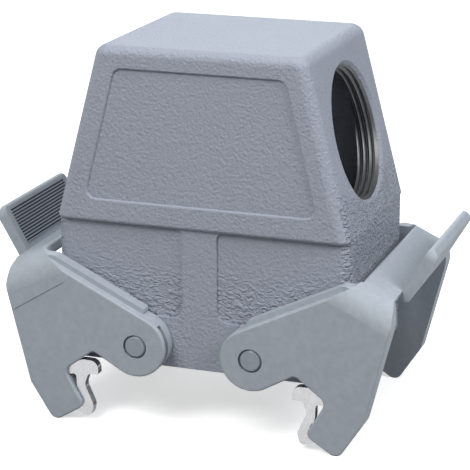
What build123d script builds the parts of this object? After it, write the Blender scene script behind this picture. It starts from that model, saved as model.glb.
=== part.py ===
from build123d import *
import math
import os

# Heavy duty rectangular connector: a die-cast coupling hood with a side cable
# entry, two U-shaped locking levers and a ten pole screw insert inside.
# Frame: X along the hood towards the cable entry, Y towards the back, Z up.
# The origin is on the surface that the lever claws stand on, under the centre.
# All sizes are in millimetres.

# Hood, outside
rim_height = 14.7  # rim above the surface, which the claws reach
hood_length = 72.0
hood_height = 75.7  # rim to top
ledge_height = 34.0  # rim to the step under the wide upper half
ledge_width = 49.0
top_length = 50.2
top_width = 47.8
band_width = 47.2  # raised band and ribs of the mating half
recess_depth = 0.6  # raised faces down to the recessed walls
band_height = 12.2  # rim to the top of the raised band
rib_width = 8.4
corner_radius = 3.0
top_edge_radius = 2.4
recess_corner = 3.0
ledge_edge_radius = 0.9  # underside of the wide upper half
raised_edge_radius = 0.45  # band, ribs and recessed fields

# Recessed field on each long side of the upper half
field_top_width = 40.8
field_bottom_width = 56.4
field_bottom = 39.6  # rim to the lower edge
field_top = 70.5
field_depth = 0.6
field_corner = 2.2

# Hood, inside
wall = 3.0
roof = 3.0
side_wall = 3.4
entry_wall = 6.4  # wall under the cable entry, thickened for the thread
entry_wall_top = 3.3
inner_corner = 2.0

# Cable entry for an M32 gland, square to the sloping end wall
entry_radius = 16.0
entry_chamfer = 0.75
entry_flare = 2.0  # length of the cone that cuts the chamfer, and its growth
entry_height = 54.6  # rim to the centre of the mouth

# Seal in a groove round the rim
seal_width = 1.5
seal_inset = 0.85
groove_depth = 1.3
seal_stand = 0.3  # how far the seal stands out of the rim

# Lever pivots
pivot_x = 14.2
pivot_height = 5.9  # rim to pivot
pin_radius = 2.6
pin_chamfer = 0.35
pivot_play = 0.05  # radial, pin to lever
pin_ring = 0.3  # wider mouth round the pin head
pin_boss_radius = 4.8
pin_boss_depth = 1.2
pin_floor = 1.0  # metal left behind the blind pin hole, which keeps the hood tight

# Levers
lever_gap = 0.3  # raised band of the hood to the lever cheek
cheek_thickness = 5.2
skin_thickness = 1.1  # outer skin over the hook plate
pivot_eye_radius = 7.4
arm_rise = 25.9  # degrees, upper edge of the arm
arm_fall = 28.8  # degrees, lower edge of the arm, rising to the notch
strip_height = 1.1  # inner layer above the outer layer along the upper edge
strip_start = 2.1
strip_end = 27.5
strip_layer = 3.1  # thickness of the inner layer
web_thickness = 2.4
cheek_edge_radius = 0.5
web_radius = 7.0  # between the web and the cheeks
cheek_bend = 8.0  # side view, at the shoulder and the elbow
web_bend = 3.0  # side view, at the outer end of the web
claw_tip_radius = 2.2
skim = 0.01  # keeps the rounding cut clear of flat faces
slot_width = 1.5
slot_depth = 1.6

# Ribbed grip
grip_width = 35.0
grip_corner = 3.0
rib_count = 12
rib_pitch = 0.75
rib_groove = 0.36
rib_groove_depth = 0.4
rib_margin = 2.2  # plain border at the ends of the ribs
rib_start = 2.45  # lip to the first groove
foot_groove = 1.15  # wider groove at the foot of the grip
foot_groove_place = 11.75

# Stainless hook plates
plate_thickness = 2.0
plate_play = 0.1

# Contact insert
insert_floor = 1.0  # rim to the mating face
insert_socket_width = 28.0
insert_width = 33.0
insert_step = 18.0  # rim to the step under the wide terminal part
insert_top = 34.0
contact_columns = 5
insert_edge = 6.5  # end of the insert to the middle of its last contact
contact_radius = 2.3
contact_bore = 1.25
contact_play = 0.15
contact_tip = 1.2  # contact mouth behind the mating face
terminal_size = 5.6
terminal_bottom = 20.0
terminal_top = 31.0
wire_radius = 1.6
wire_depth = 8.0
terminal_screw_radius = 1.5
terminal_head_radius = 2.2
terminal_head_height = 1.6
terminal_screw_height = 27.0

# Earth brackets and the insert's screws
bracket_thickness = 1.6
bracket_reach = 8.0
bracket_gap = 0.5  # to the end wall of the hood
bracket_drop = 8.0
bracket_leg_inset = 7.0
screw_spacing_y = 27.0
screw_radius = 2.0
screw_clearance = 0.25
screw_head_radius = 3.4
screw_head_height = 2.8
screw_length = 9.0
boss_size = 7.6
boss_height = 10.0
earth_radius = 2.0
earth_head_radius = 3.2
earth_head_height = 2.2
earth_length = 5.0
drive_slot = 0.8
drive_depth = 0.9

# Places worked out from the sizes
ledge_z = rim_height + ledge_height
top_z = rim_height + hood_height
pivot_z = rim_height + pivot_height
core_width = band_width - 2 * recess_depth
insert_length = hood_length - 2 * (wall + bracket_gap + bracket_reach)
contact_pitch = (insert_length - 2 * insert_edge) / (contact_columns - 1)
row_offset = insert_socket_width / 4
screw_spacing_x = insert_length + bracket_reach
slope = (hood_length - top_length) / 2 / (hood_height - ledge_height)
entry_tilt = math.degrees(math.atan(slope))
entry_z = rim_height + entry_height
entry_x = hood_length / 2 - slope * (entry_height - ledge_height)
cheek_inner = band_width / 2 + lever_gap
cheek_outer = cheek_inner + cheek_thickness
skin_inner = cheek_outer - skin_thickness
pin_end = band_width / 2 - side_wall - pin_boss_depth + pin_floor
insert_flange = rim_height + insert_step


def lift(x, height):
    """A point of an outline, from its height above the rim."""
    return (x, rim_height + height)


def rounded_face(corners):
    """A face from corners (x, z, radius), its corners rounded by arcs."""
    points = [(x, z) for x, z, radius in corners]
    radii = [radius for x, z, radius in corners]
    return make_face(FilletPolyline(*points, radius=radii, close=True))


def slab(face, near, far):
    """An XZ outline extruded from y = near to y = far, near being in front."""
    placed = Plane.XZ.offset(-far) * face
    return extrude(placed, amount=far - near)


def block(low, high):
    """A box from its lowest and highest corners."""
    size = [b - a for a, b in zip(low, high)]
    centre = [(a + b) / 2 for a, b in zip(low, high)]
    return Pos(*centre) * Box(*size)


def drum(x, y, z, radius, length):
    """An upright cylinder on the point x, y, z."""
    placed = Pos(x, y, z) * Cylinder(radius, length)
    return placed.moved(Location((0, 0, length / 2)))


def cross_drum(x, near, far, z, radius):
    """A cylinder along Y from y = near to y = far."""
    turned = Rot(90, 0, 0) * Cylinder(radius, far - near)
    return Pos(x, (near + far) / 2, z) * turned


def level(length, width, radius, z):
    """A horizontal rounded rectangle at height z."""
    return Plane.XY.offset(z) * RectangleRounded(length, width, radius)


# Hood


def drafted_block():
    """Four drafted walls from the ledge to the roof, with their edges still sharp."""
    base = level(hood_length, ledge_width, corner_radius, ledge_z)
    roof_face = level(top_length, top_width, corner_radius, top_z)
    return loft([base, roof_face], ruled=True)


def end_fill():
    """Runs the lower end walls up into the sloping ones, so that no ledge shows there."""
    section = level(hood_length, core_width, corner_radius, ledge_z)
    return drafted_block() & extrude(section, 2 * ledge_edge_radius)


def upper_half():
    """Wide upper half with a level roof, rounded edges and two recessed fields."""
    body = drafted_block()
    roof_edges = body.faces().sort_by(Axis.Z)[-1].edges()
    body = fillet(roof_edges, top_edge_radius)
    ledge_edges = body.faces().sort_by(Axis.Z)[0].edges()
    body = fillet(ledge_edges, ledge_edge_radius)
    for side in (-1, 1):
        cutter = field_cutter() if side < 0 else mirror(field_cutter(), about=Plane.XZ)
        body = body - cutter
    lips = [edge for edge in body.edges() if on_field_edge(edge)]
    return fillet(lips, raised_edge_radius)


def raised_pattern():
    """Band along the rim with a rib up each long side, as one outline."""
    half = hood_length / 2
    rib = rib_width / 2
    bend = recess_corner
    top = ledge_height
    corners = [
        (*lift(-half, 0), 0),
        (*lift(half, 0), 0),
        (*lift(half, band_height), 0),
        (*lift(rib, band_height), bend),
        (*lift(rib, top), 0),
        (*lift(-rib, top), 0),
        (*lift(-rib, band_height), bend),
        (*lift(-half, band_height), 0),
    ]
    return rounded_face(corners)


def mating_half():
    """Lower half: recessed walls with the raised band and ribs on them."""
    core = extrude(level(hood_length, core_width, corner_radius, rim_height), ledge_height)
    full = extrude(level(hood_length, band_width, corner_radius, rim_height), ledge_height)
    pattern = slab(raised_pattern(), -band_width, band_width)
    raised = full & pattern
    borders = [edge for edge in raised.edges() if on_raised_edge(edge)]
    return core + fillet(borders, raised_edge_radius)


def on_raised_edge(edge):
    """Whether an edge is on the outer border of the band and ribs, above the rim."""
    centre = edge.center()
    outer = abs(abs(centre.Y) - band_width / 2) < skim
    above = rim_height + 1 < centre.Z < ledge_z - skim
    return outer and above and abs(centre.X) < hood_length / 2 - corner_radius


def on_field_edge(edge):
    """Whether an edge is on the outer border of a recessed field."""
    centre = edge.center()
    draft = (ledge_width - top_width) / 2 / (hood_height - ledge_height)
    face_y = ledge_width / 2 - draft * (centre.Z - ledge_z)
    inside = abs(centre.X) < field_bottom_width / 2 + skim
    low = rim_height + field_bottom - skim
    high = rim_height + field_top + field_corner
    return inside and low < centre.Z < high and abs(abs(centre.Y) - face_y) < 0.05


def field_cutter():
    """Cutter for the recessed field on the front of the upper half."""
    draft = (ledge_width - top_width) / 2 / (hood_height - ledge_height)
    angle = math.degrees(math.atan(draft))
    normal = (0, -math.cos(math.radians(angle)), math.sin(math.radians(angle)))
    plane = Plane(origin=(0, -ledge_width / 2, ledge_z), x_dir=(1, 0, 0), z_dir=normal)
    low = field_bottom - ledge_height
    high = field_top - ledge_height
    corners = [
        (-field_bottom_width / 2, low, field_corner),
        (field_bottom_width / 2, low, field_corner),
        (field_top_width / 2, high, field_corner),
        (-field_top_width / 2, high, field_corner),
    ]
    face = plane.offset(-field_depth) * rounded_face(corners)
    return extrude(face, amount=2 * field_depth)


def cavity():
    """Hollow of the hood: mating space below, wiring space above."""
    lower_length = hood_length - 2 * wall
    lower_width = band_width - 2 * side_wall
    shelf = ledge_z - wall
    lower = extrude(level(lower_length, lower_width, inner_corner, rim_height), shelf - rim_height)
    low_back = -hood_length / 2 + wall
    low_front = hood_length / 2 - entry_wall
    top_back = -top_length / 2 + wall
    top_front = top_length / 2 - entry_wall_top
    top = top_z - roof
    upper_width = top_width - 2 * wall
    base = Pos((low_back + low_front) / 2, 0, 0) * level(
        low_front - low_back, lower_width, inner_corner, shelf
    )
    crown = Pos((top_back + top_front) / 2, 0, 0) * level(
        top_front - top_back, upper_width, inner_corner, top
    )
    return lower + loft([base, crown], ruled=True)


def entry_bore():
    """Round cable entry with its chamfer, square to the sloping wall."""
    axis = (math.cos(math.radians(entry_tilt)), 0, math.sin(math.radians(entry_tilt)))
    mouth = Plane(origin=(entry_x, 0, entry_z), x_dir=(0, 1, 0), z_dir=axis)
    reach = entry_wall + entry_wall_top
    bore = extrude(mouth.offset(-reach) * Circle(entry_radius), amount=2 * reach)
    funnel = mouth.offset(-entry_chamfer + entry_flare / 2) * Cone(
        entry_radius, entry_radius + entry_flare, entry_flare
    )
    return bore + funnel


def insert_bosses():
    """Four columns in the corners that the insert is screwed to."""
    bosses = []
    half_x = hood_length / 2 - wall
    half_y = band_width / 2 - side_wall
    for side_x in (-1, 1):
        for side_y in (-1, 1):
            x = side_x * screw_spacing_x / 2
            y = side_y * screw_spacing_y / 2
            low = (min(x - side_x * boss_size / 2, side_x * (half_x + 1)),
                   min(y - side_y * boss_size / 2, side_y * (half_y + 1)), insert_flange)
            high = (max(x - side_x * boss_size / 2, side_x * (half_x + 1)),
                    max(y - side_y * boss_size / 2, side_y * (half_y + 1)),
                    insert_flange + boss_height)
            bosses.append(block(low, high))
    return bosses


def boss_holes():
    """Tapped holes for the insert's screws, at the screws' own radius."""
    holes = []
    for x, y in screw_places():
        holes.append(drum(x, y, insert_flange - 1, screw_radius, screw_length + 1))
    return holes


def screw_places():
    """Centres of the four captive screws."""
    half_x = screw_spacing_x / 2
    half_y = screw_spacing_y / 2
    return [(x, y) for x in (-half_x, half_x) for y in (-half_y, half_y)]


def seal_ring(depth, stand):
    """Rounded rectangular ring along the middle of the rim."""
    outer_length = hood_length - 2 * seal_inset
    outer_width = band_width - 2 * seal_inset
    radius = corner_radius - seal_inset
    base = rim_height - stand
    outer = level(outer_length, outer_width, radius, base)
    inner = level(
        outer_length - 2 * seal_width,
        outer_width - 2 * seal_width,
        radius - seal_width + 0.2 * seal_width,
        base,
    )
    return extrude(outer - inner, amount=depth + stand)


def hood_shell():
    """The die-cast hood."""
    body = upper_half() + mating_half() + end_fill()
    body = body - cavity()
    inner_face = band_width / 2 - side_wall
    for x in (-pivot_x, pivot_x):
        for side in (-1, 1):
            near, far = sorted((side * (inner_face + 1), side * (inner_face - pin_boss_depth)))
            body += cross_drum(x, near, far, pivot_z, pin_boss_radius)
    for boss in insert_bosses():
        body += boss
    for hole in boss_holes():
        body -= hole
    for x in (-pivot_x, pivot_x):
        body -= cross_drum(x, -band_width, -pin_end, pivot_z, pin_radius)
        body -= cross_drum(x, pin_end, band_width, pivot_z, pin_radius)
    body -= entry_bore()
    body -= seal_ring(groove_depth, 0)
    return body


def rim_seal():
    """Rubber seal that the mating housing presses on."""
    return seal_ring(groove_depth, seal_stand)


def pivot_pin(side_x, side_y):
    """Plain steel pin through the lever cheek, pressed into a blind hole in the hood wall."""
    near, far = sorted((side_y * pin_end, side_y * cheek_outer))
    pin = cross_drum(side_x * pivot_x, near, far, pivot_z, pin_radius)
    head = pin.edges().sort_by(Axis.Y)[0 if side_y < 0 else -1]
    return chamfer(head, pin_chamfer)


# Levers, drawn for the right hand side and mirrored


def arm_tangent(offset, run):
    """Point on the line along the arm's upper edge, offset from the pivot."""
    rise = math.radians(arm_rise)
    x = pivot_x - offset * math.sin(rise) + run * math.cos(rise)
    z = pivot_z + offset * math.cos(rise) + run * math.sin(rise)
    return (x, z)


# Corners of the lever above the rim
elbow = (31.5, 22.5)
web_edge = (39.2, 26.3)  # edge of the web next to the hood
web_outer = (46.9, 22.7)
shoulder = (47.1, 17.0)
heel = (41.3, -6.2)
claw_tip = (35.3, -15.52)
claw_inner = (27.4, -10.6)
notch_side = (32.4, -2.1)
notch_roof = (24.9, 3.5)
grip_root = (46.7, 22.8)
lip_inner = (52.9, 33.9)
lip_outer = (54.6, 31.3)
grip_foot = (48.0, 20.0)
web_under = (45.8, 20.7)

# Corners of the hook plate above the rim, with their radii
plate_corners = [
    (24.0, -2.7, 0.5),  # head, inner end
    (24.1, 0.7, 2.0),
    (27.9, 0.8, 2.0),
    (36.6, -2.4, 1.0),  # head, outer end
    (36.6, -4.4, 1.0),
    (29.7, -2.9, 0.8),  # neck
    (29.6, -6.8, 2.5),
    (27.9, -9.2, 1.2),
    (30.6, -11.4, 0.8),  # tail
    (29.8, -12.6, 0.8),
    (26.2, -13.5, 1.2),
    (25.3, -10.6, 2.5),
    (27.6, -5.4, 2.2),
    (26.6, -2.7, 0.8),
]


def cheek_outline():
    """Side view of one cheek without the eye round the pivot."""
    fall = math.radians(arm_fall)
    top = arm_tangent(pivot_eye_radius, 0)
    bottom = (
        pivot_x + pivot_eye_radius * math.sin(fall),
        pivot_z - pivot_eye_radius * math.cos(fall),
    )
    corners = [
        (pivot_x, pivot_z, 0),
        (*bottom, 0),
        (*lift(*notch_roof), 1.3),
        (*lift(*notch_side), 2.0),
        (*lift(*claw_inner), 1.8),
        (*lift(*claw_tip), claw_tip_radius),
        (*lift(*heel), 2.0),
        (*lift(*shoulder), cheek_bend),
        (*lift(*web_outer), web_bend),
        (*lift(*web_edge), 0.8),
        (*lift(*elbow), cheek_bend),
        (*top, 0),
    ]
    return rounded_face(corners) + Pos(pivot_x, pivot_z) * Circle(pivot_eye_radius)


def strip_outline():
    """Low strip that the inner layer adds along the arm's upper edge."""
    corners = [
        (*arm_tangent(pivot_eye_radius - 1, strip_start), 0),
        (*arm_tangent(pivot_eye_radius - 1, strip_end), 0),
        (*lift(web_edge[0] - 0.6, web_edge[1] - 0.8), 0),
        (*arm_tangent(pivot_eye_radius + strip_height, strip_end), 2.0),
        (*arm_tangent(pivot_eye_radius + strip_height, strip_start), 0.8),
    ]
    return rounded_face(corners)


def web_outline():
    """Section of the web that joins the two cheeks."""
    drop = web_thickness
    corners = [
        (*lift(*web_edge), 0.8),
        (*lift(*grip_root), 0),
        (*lift(*web_under), 0.8),
        (*lift(web_edge[0] - 1.1, web_edge[1] - drop), 0.6),
    ]
    return rounded_face(corners)


def grip_outline():
    """Section of the grip that rises from the web's outer edge."""
    corners = [
        (*lift(*grip_root), 0),
        (*lift(*lip_inner), 0.9),
        (*lift(*lip_outer), 0.9),
        (*lift(*grip_foot), 1.2),
        (*lift(*web_under), 0),
    ]
    return rounded_face(corners)


def web_envelope():
    """Rounded envelope that turns the web over into the cheeks."""
    run = (web_outer[0] - web_edge[0], web_outer[1] - web_edge[1])
    length = math.hypot(*run)
    along = (run[0] / length, 0, run[1] / length)
    plane = Plane(
        origin=(web_edge[0], 0, rim_height + web_edge[1]), x_dir=(0, 1, 0), z_dir=along
    )
    depth = 4 * web_edge[0]
    section = Pos(0, skim - depth / 2) * RectangleRounded(
        2 * (cheek_outer + skim), depth, web_radius
    )
    return extrude(plane * section, amount=depth / 2, both=True)


def plate_outline():
    """Side view of a hook plate: head, neck and tail."""
    corners = [(*lift(x, z), radius) for x, z, radius in plate_corners]
    return rounded_face(corners)


def front_cheek():
    """Cheek of the right lever on the front of the hood."""
    outline = cheek_outline()
    cheek = slab(outline, -cheek_outer, -cheek_inner)
    cheek = fillet(cheek.faces().sort_by(Axis.Y)[0].edges(), cheek_edge_radius)
    inner = slab(strip_outline(), -cheek_inner - strip_layer, -cheek_inner)
    return cheek + inner


def front_cuts():
    """Pocket of the hook plate, pivot hole and slot in the pivot eye."""
    pocket_face = offset(plate_outline(), amount=plate_play)
    pocket = slab(pocket_face, -skin_inner - plate_play / 10, -skin_inner + plate_thickness + plate_play)
    hole = cross_drum(pivot_x, -cheek_outer - 1, -cheek_inner + 1, pivot_z, pin_radius + pivot_play)
    mouth = cross_drum(
        pivot_x, -cheek_outer - 1, -skin_inner, pivot_z, pin_radius + pin_ring
    )
    disc = Circle(pivot_eye_radius + 1) - Circle(pivot_eye_radius - slot_depth)
    sector = Pos(-pivot_eye_radius, 0) * Rectangle(pivot_eye_radius, 1.4 * pivot_eye_radius)
    slot_face = Pos(pivot_x, pivot_z) * (disc & sector)
    slot = slab(slot_face, -skin_inner, -skin_inner + slot_width)
    return [pocket, hole, mouth, slot]


def grip():
    """Ribbed grip with rounded upper corners."""
    body = slab(grip_outline(), -grip_width / 2, grip_width / 2)
    run = (lip_inner[0] - grip_root[0], lip_inner[1] - grip_root[1])
    length = math.hypot(*run)
    up = (run[0] / length, 0, run[1] / length)
    face = Plane(
        origin=(lip_inner[0], 0, rim_height + lip_inner[1]), x_dir=(0, 1, 0), z_dir=(-up[2], 0, up[0])
    )
    depth = 4 * length
    frame_section = Pos(0, depth / 2) * RectangleRounded(grip_width, depth, grip_corner)
    envelope = extrude(face * frame_section, amount=length, both=True)
    return body & envelope, face, length


def rib_grooves(face, length):
    """Grooves across the grip's face, measured from the lip."""
    grooves = []
    for index in range(rib_count):
        place = rib_start + index * rib_pitch
        groove = face * Pos(0, place, 0) * Box(
            grip_width - 2 * rib_margin, rib_groove, 2 * rib_groove_depth
        )
        grooves.append(groove)
    foot = face * Pos(0, foot_groove_place, 0) * Box(
        grip_width - 2 * rib_margin, foot_groove, rib_groove_depth
    )
    return grooves + [foot]


def right_lever():
    """The U-shaped lever on the cable entry side."""
    cheek = front_cheek()
    web = slab(web_outline(), -cheek_outer, cheek_outer)
    body = cheek + mirror(cheek, about=Plane.XZ) + web
    body = body & web_envelope()
    grip_body, face, length = grip()
    body += grip_body
    for cut in front_cuts():
        body = body - cut - mirror(cut, about=Plane.XZ)
    for groove in rib_grooves(face, length):
        body -= groove
    return body


def right_plate(side_y):
    """Hook plate in one claw of the right lever."""
    plate = slab(plate_outline(), -skin_inner, -skin_inner + plate_thickness)
    if side_y > 0:
        plate = mirror(plate, about=Plane.XZ)
    return plate


# Contact insert


def contact_places():
    """Centres of the contacts, row by row."""
    first = -(contact_columns - 1) / 2 * contact_pitch
    places = []
    for y in (-row_offset, row_offset):
        for column in range(contact_columns):
            places.append((first + column * contact_pitch, y))
    return places


def contact(x, y):
    """Turned socket with a square terminal for the wire."""
    side = math.copysign(1, y)
    low = rim_height + insert_floor + contact_tip
    bottom = rim_height + terminal_bottom
    top = rim_height + terminal_top
    half = terminal_size / 2
    body = drum(x, y, low, contact_radius, bottom - low + 1)
    body += block((x - half, y - half, bottom), (x + half, y + half, top))
    body -= drum(x, y, low - 1, contact_bore, bottom - low - 2)
    body -= drum(x, y, top - wire_depth, wire_radius, wire_depth + 1)
    near, far = sorted((y, y + side * (half + 1)))
    screw_z = rim_height + terminal_screw_height
    body -= cross_drum(x, near, far, screw_z, terminal_screw_radius)
    return body


def terminal_screw(x, y):
    """Screw that clamps the wire in one terminal."""
    side = math.copysign(1, y)
    z = rim_height + terminal_screw_height
    seat = y + side * (terminal_size / 2 + contact_play)
    near, far = sorted((seat, seat + side * terminal_head_height))
    head = cross_drum(x, near, far, z, terminal_head_radius)
    tip_near, tip_far = sorted((y + side * (wire_radius - 0.2), seat))
    shank = cross_drum(x, tip_near, tip_far, z, terminal_screw_radius)
    face = seat + side * terminal_head_height
    cut_near, cut_far = sorted((face - side * drive_depth, face + side))
    cut = block(
        (x - terminal_head_radius, cut_near, z - drive_slot / 2),
        (x + terminal_head_radius, cut_far, z + drive_slot / 2),
    )
    return head + shank - cut


def socket_block():
    """Lower moulding with a round chamber for each socket."""
    low = rim_height + insert_floor
    body = extrude(level(insert_length, insert_socket_width, 1.5, low), insert_flange - low)
    for x, y in contact_places():
        body -= drum(x, y, low - 1, contact_radius + contact_play, insert_step + 2)
    return body


def terminal_block():
    """Upper moulding with a square chamber for each terminal."""
    top = rim_height + insert_top
    body = extrude(level(insert_length, insert_width, 1.5, insert_flange), top - insert_flange)
    room = terminal_size / 2 + contact_play
    bottom = rim_height + terminal_bottom
    screw_z = rim_height + terminal_screw_height
    for x, y in contact_places():
        side = math.copysign(1, y)
        body -= drum(x, y, insert_flange - 1, contact_radius + contact_play, 3)
        body -= block((x - room, y - room, bottom), (x + room, y + room, top + 1))
        near, far = sorted((y, side * (insert_width / 2 + 1)))
        body -= cross_drum(x, near, far, screw_z, terminal_head_radius + contact_play)
    return body


def earth_bracket(side):
    """Angle of plated steel at one end of the insert."""
    inner = insert_length / 2
    near, far = sorted((side * inner, side * (inner + bracket_reach)))
    half = insert_width / 2
    foot = block(
        (near, -half, insert_flange - bracket_thickness), (far, half, insert_flange)
    )
    leg_near, leg_far = sorted((side * inner, side * (inner + bracket_thickness)))
    leg_half = half - bracket_leg_inset
    leg = block(
        (leg_near, -leg_half, insert_flange - bracket_drop), (leg_far, leg_half, insert_flange)
    )
    bracket = foot + leg
    for x, y in screw_places():
        if x * side > 0:
            bracket -= drum(
                x, y, insert_flange - 2 * bracket_thickness, screw_radius + screw_clearance,
                4 * bracket_thickness,
            )
    earth_x = side * screw_spacing_x / 2
    bracket -= drum(
        earth_x, 0, insert_flange - 2 * bracket_thickness, earth_radius, 4 * bracket_thickness
    )
    return bracket


def slotted_screw(x, y, seat, radius, length, head_radius, head_height):
    """Screw with a slotted head under the seat, pointing up."""
    body = drum(x, y, seat, radius, length)
    body += drum(x, y, seat - head_height, head_radius, head_height)
    cut = block(
        (x - head_radius - 1, y - drive_slot / 2, seat - head_height - 1),
        (x + head_radius + 1, y + drive_slot / 2, seat - head_height + drive_depth),
    )
    return body - cut


def insert_screws():
    """The four captive screws, heads towards the mating side."""
    seat = insert_flange - bracket_thickness
    length = screw_length + bracket_thickness
    screws = []
    for x, y in screw_places():
        screws.append(
            slotted_screw(x, y, seat, screw_radius, length, screw_head_radius, screw_head_height)
        )
    return Compound(children=screws)


def earth_screws():
    """Earth terminal screws, heads in the wiring space."""
    screws = []
    for side in (-1, 1):
        x = side * screw_spacing_x / 2
        screw = slotted_screw(
            x, 0, 0, earth_radius, earth_length, earth_head_radius, earth_head_height
        )
        turned = mirror(screw, about=Plane.XY)
        screws.append(turned.moved(Location((0, 0, insert_flange))))
    return Compound(children=screws)


def all_parts():
    """Every node of the connector by name."""
    parts = {"hood_shell": hood_shell(), "rim_seal": rim_seal()}
    lever = right_lever()
    parts["right_lever_frame"] = lever
    parts["left_lever_frame"] = mirror(lever, about=Plane.YZ)
    for side_x, side_name in ((1, "right"), (-1, "left")):
        for side_y, face_name in ((-1, "front"), (1, "back")):
            ending = side_name + "_" + face_name
            parts["pivot_pin_" + ending] = pivot_pin(side_x, side_y)
            plate = right_plate(side_y)
            if side_x < 0:
                plate = mirror(plate, about=Plane.YZ)
            parts["lock_plate_" + ending] = plate
        parts["earth_bracket_" + side_name] = earth_bracket(side_x)
    parts["insert_socket_block"] = socket_block()
    parts["insert_terminal_block"] = terminal_block()
    for index, (x, y) in enumerate(contact_places()):
        parts["contact_" + format(index + 1, "02d")] = contact(x, y)
    parts["terminal_screws"] = Compound(
        children=[terminal_screw(x, y) for x, y in contact_places()]
    )
    parts["insert_screws"] = insert_screws()
    parts["earth_screws"] = earth_screws()
    return parts



os.makedirs("parts", exist_ok=True)
for name, shape in all_parts().items():
    export_step(shape, "parts/" + name + ".step")
    print(name, round(shape.volume))
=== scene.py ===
import math

import bpy
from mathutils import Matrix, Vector


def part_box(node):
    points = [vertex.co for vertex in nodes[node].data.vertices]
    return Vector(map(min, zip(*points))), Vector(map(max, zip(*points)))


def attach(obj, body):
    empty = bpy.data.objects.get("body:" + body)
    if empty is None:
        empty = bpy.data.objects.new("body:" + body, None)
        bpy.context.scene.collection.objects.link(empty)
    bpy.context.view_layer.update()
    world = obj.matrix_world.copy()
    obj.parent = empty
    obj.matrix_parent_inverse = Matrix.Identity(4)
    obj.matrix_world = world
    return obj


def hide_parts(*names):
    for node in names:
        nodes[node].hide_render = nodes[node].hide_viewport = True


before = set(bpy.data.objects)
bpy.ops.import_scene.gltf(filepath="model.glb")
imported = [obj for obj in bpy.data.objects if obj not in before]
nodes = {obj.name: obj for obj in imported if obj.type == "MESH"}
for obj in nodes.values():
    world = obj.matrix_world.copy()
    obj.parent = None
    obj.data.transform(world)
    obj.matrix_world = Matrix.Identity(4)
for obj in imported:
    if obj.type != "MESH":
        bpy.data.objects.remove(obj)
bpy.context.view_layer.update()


# Camera
# A long lens at the photograph's angle, low and turned towards the cable entry.
CAMERA_AZIMUTH = math.radians(19.42)
CAMERA_ELEVATION = math.radians(16.76)
CAMERA_DISTANCE = 0.4586
CAMERA_TARGET = Vector((0.0004, 0.0, 0.04111))
CAMERA_LENS, FILM_WIDTH = 145.5, 36.0

away = Vector((
    math.sin(CAMERA_AZIMUTH) * math.cos(CAMERA_ELEVATION),
    -math.cos(CAMERA_AZIMUTH) * math.cos(CAMERA_ELEVATION),
    math.sin(CAMERA_ELEVATION),
))
bpy.ops.object.select_all(action="DESELECT")
bpy.ops.object.camera_add(location=CAMERA_TARGET + away * CAMERA_DISTANCE)
camera = bpy.context.object
camera.name = "photo_camera"
camera.rotation_euler = (-away).to_track_quat("-Z", "Y").to_euler()
camera.data.lens = CAMERA_LENS
camera.data.sensor_width = FILM_WIDTH
bpy.context.scene.camera = camera
bpy.context.scene.view_settings.view_transform = "Standard"


# Light and floor
# The main soft boxes hang high in front and at the right, with weaker ones above, behind
# and at the left. The pale floor under the claws shows white behind the connector.
LIGHT_AIM = Vector((0.0, 0.0, 0.045))
FILL_STRENGTH = 0.16
FLOOR_GREY = (0.20, 0.20, 0.20, 1.0)  # lights the connector from below
FLOOR_PALE = (0.96, 0.96, 0.96, 1.0)  # what the camera and polished metal see
FLOOR_GLOW = 0.55

world = bpy.data.worlds.new("studio")
bpy.context.scene.world = world
world.use_nodes = True
tree = world.node_tree
tree.nodes.clear()
seen = tree.nodes.new("ShaderNodeLightPath")
fill = tree.nodes.new("ShaderNodeBackground")
fill.inputs["Color"].default_value = (0.86, 0.92, 1.0, 1.0)
fill.inputs["Strength"].default_value = FILL_STRENGTH
backdrop = tree.nodes.new("ShaderNodeBackground")
backdrop.inputs["Color"].default_value = (1.0, 1.0, 1.0, 1.0)
backdrop.inputs["Strength"].default_value = 1.0
choose = tree.nodes.new("ShaderNodeMixShader")
world_out = tree.nodes.new("ShaderNodeOutputWorld")
tree.links.new(seen.outputs["Is Camera Ray"], choose.inputs["Fac"])
tree.links.new(fill.outputs["Background"], choose.inputs[1])
tree.links.new(backdrop.outputs["Background"], choose.inputs[2])
tree.links.new(choose.outputs["Shader"], world_out.inputs["Surface"])

for name, place, size, power, colour in (
    ("soft_box_above", (0.04, 0.00, 0.60), 0.50, 1.0, (0.92, 0.96, 1.0)),
    ("soft_box_behind", (-0.28, 0.80, 0.34), 0.40, 1.3, (0.86, 0.93, 1.0)),
    ("soft_box_right", (0.56, -0.14, 0.50), 0.34, 3.0, (0.97, 0.985, 1.0)),
    ("soft_box_front", (-0.14, -0.52, 0.60), 0.34, 3.45, (1.0, 0.99, 0.98)),
    ("soft_box_left", (-0.62, -0.02, 0.22), 0.24, 0.5, (1.0, 1.0, 1.0)),
):
    bpy.ops.object.light_add(type="AREA", location=place)
    lamp = bpy.context.object
    lamp.name = name
    lamp.data.size = size
    lamp.data.energy = power
    lamp.data.color = colour
    lamp.rotation_euler = (LIGHT_AIM - Vector(place)).to_track_quat("-Z", "Y").to_euler()

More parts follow.
